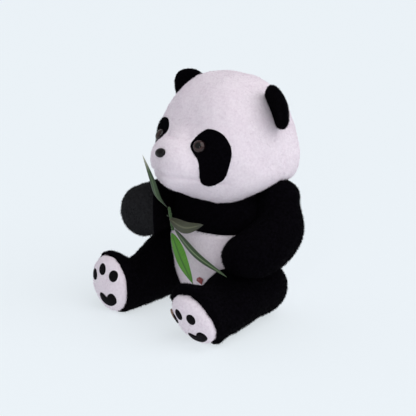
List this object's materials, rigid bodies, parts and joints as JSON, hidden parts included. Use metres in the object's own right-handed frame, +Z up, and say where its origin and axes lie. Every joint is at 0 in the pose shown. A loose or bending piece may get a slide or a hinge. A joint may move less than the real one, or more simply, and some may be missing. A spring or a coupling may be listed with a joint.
{
  "type": "plush panda",
  "caption": "Sitting stuffed plush panda with sewn limbs that flex, safety eyes and nose, and a sprig of cloth bamboo at its paw.",
  "frame": {"origin": "middle of the flat seat, on the surface that the toy sits on", "axes": "+Z up through the head; the panda faces -Y and its left side is +X"},
  "size_m": [0.2091, 0.2012, 0.268],
  "materials": {
    "white_plush": "short-pile white plush with a faint lilac cast, matt with a soft sheen",
    "black_plush": "short-pile black plush, deep matt with a faint cool sheen at grazing angles",
    "charcoal_plush": "short-pile charcoal plush, flat and matt",
    "fibre_filling": "loose polyester fibre filling",
    "pad_felt": "black brushed plush applique",
    "eye_plastic": "glossy moulded brown eye with a black pupil",
    "nose_plastic": "glossy moulded black nose",
    "washer_plastic": "moulded lock washer, satin",
    "leaf_dark": "dark green printed satin cloth, creased along its midrib",
    "leaf_olive": "olive printed satin cloth",
    "leaf_bright": "bright green printed satin cloth",
    "leaf_thread": "sewing thread",
    "label_tape": "woven red tape",
    "loop_tape": "woven tan-brown tape"
  },
  "bodies": {
    "torso": {"yoke_front": "black_plush", "yoke_back_left": "black_plush", "yoke_back_right": "black_plush", "belly_panel": "white_plush", "back_panel_left": "white_plush", "back_panel_right": "white_plush", "seat_panel": "white_plush", "body_filling": "fibre_filling", "seam_label": "label_tape"},
    "neck": {"neck_filling": "fibre_filling"},
    "head": {"face_panel": "white_plush", "chin_gusset": "white_plush", "head_back_left": "white_plush", "head_back_right": "white_plush", "head_filling": "fibre_filling", "eye_left": "eye_plastic", "eye_left_washer": "washer_plastic", "eye_right": "eye_plastic", "eye_right_washer": "washer_plastic", "nose": "nose_plastic", "nose_washer": "washer_plastic", "eye_patch_left": "black_plush", "eye_patch_right": "black_plush"},
    "ear_left": {"ear_left_front": "black_plush", "ear_left_back": "black_plush"},
    "ear_right": {"ear_right_front": "black_plush", "ear_right_back": "black_plush"},
    "tail": {"tail_cover": "white_plush"},
    "arm_left": {"arm_left_outer": "black_plush", "arm_left_inner": "black_plush", "arm_left_filling": "fibre_filling"},
    "arm_right": {"paw_right_panel": "charcoal_plush", "arm_right_outer": "black_plush", "arm_right_inner": "black_plush", "arm_right_filling": "fibre_filling", "sprig_stitch": "leaf_thread"},
    "leg_left": {"leg_left_outer": "black_plush", "leg_left_inner": "black_plush", "leg_left_filling": "fibre_filling", "sole_left": "white_plush", "toe_pad_inner_left": "pad_felt", "toe_pad_middle_left": "pad_felt", "toe_pad_outer_left": "pad_felt", "heel_pad_left": "pad_felt", "sole_loop": "loop_tape"},
    "leg_right": {"leg_right_outer": "black_plush", "leg_right_inner": "black_plush", "leg_right_filling": "fibre_filling", "sole_right": "white_plush", "toe_pad_inner_right": "pad_felt", "toe_pad_middle_right": "pad_felt", "toe_pad_outer_right": "pad_felt", "heel_pad_right": "pad_felt"},
    "bamboo_sprig": {"bamboo_stem": "leaf_dark", "leaf_upper": "leaf_dark", "leaf_side": "leaf_olive", "leaf_front": "leaf_bright", "leaf_long": "leaf_dark"}
  },
  "joints": [
    {"name": "head_nod", "type": "hinge", "parent": "torso", "child": "neck", "pos_m": [0, 0.004, 0.124], "axis": [1, 0, 0], "range_deg": [-8, 5], "stiffness_Nm_per_rad": 2},
    {"name": "head_turn", "type": "hinge", "parent": "neck", "child": "head", "pos_m": [0, 0, 0.1275], "axis": [0, 0, 1], "range_deg": [-20, 20], "stiffness_Nm_per_rad": 0.8},
    {"name": "ear_left_fold", "type": "hinge", "parent": "head", "child": "ear_left", "pos_m": [0.059, 0.019, 0.2305], "axis": [0.5501, 0, -0.8351], "range_deg": [-12, 12], "stiffness_Nm_per_rad": 0.02},
    {"name": "ear_right_fold", "type": "hinge", "parent": "head", "child": "ear_right", "pos_m": [-0.059, 0.019, 0.2305], "axis": [0.5501, 0, 0.8351], "range_deg": [-12, 12], "stiffness_Nm_per_rad": 0.02},
    {"name": "arm_left_swing", "type": "hinge", "parent": "torso", "child": "arm_left", "pos_m": [0.075, 0.014, 0.116], "axis": [0, 0, 1], "range_deg": [-2, 25], "stiffness_Nm_per_rad": 0.12},
    {"name": "arm_right_swing", "type": "hinge", "parent": "torso", "child": "arm_right", "pos_m": [-0.075, 0.012, 0.116], "axis": [0, 0, -1], "range_deg": [-2, 18], "stiffness_Nm_per_rad": 0.12},
    {"name": "leg_left_spread", "type": "hinge", "parent": "torso", "child": "leg_left", "pos_m": [0.052, -0.008, 0.031], "axis": [0, 0, 1], "range_deg": [-8, 20], "stiffness_Nm_per_rad": 0.3},
    {"name": "leg_right_spread", "type": "hinge", "parent": "torso", "child": "leg_right", "pos_m": [-0.054, -0.008, 0.039], "axis": [0, 0, -1], "range_deg": [-1, 22], "stiffness_Nm_per_rad": 0.3},
    {"name": "tail_flex", "type": "hinge", "parent": "torso", "child": "tail", "pos_m": [0, 0.053, 0.034], "axis": [0, 0, 1], "range_deg": [-10, 10], "stiffness_Nm_per_rad": 0.02},
    {"name": "sprig_swivel", "type": "hinge", "parent": "arm_right", "child": "bamboo_sprig", "pos_m": [-0.019, -0.063, 0.112], "axis": [0, -1, 0], "range_deg": [-4, 12], "stiffness_Nm_per_rad": 0.01}
  ]
}
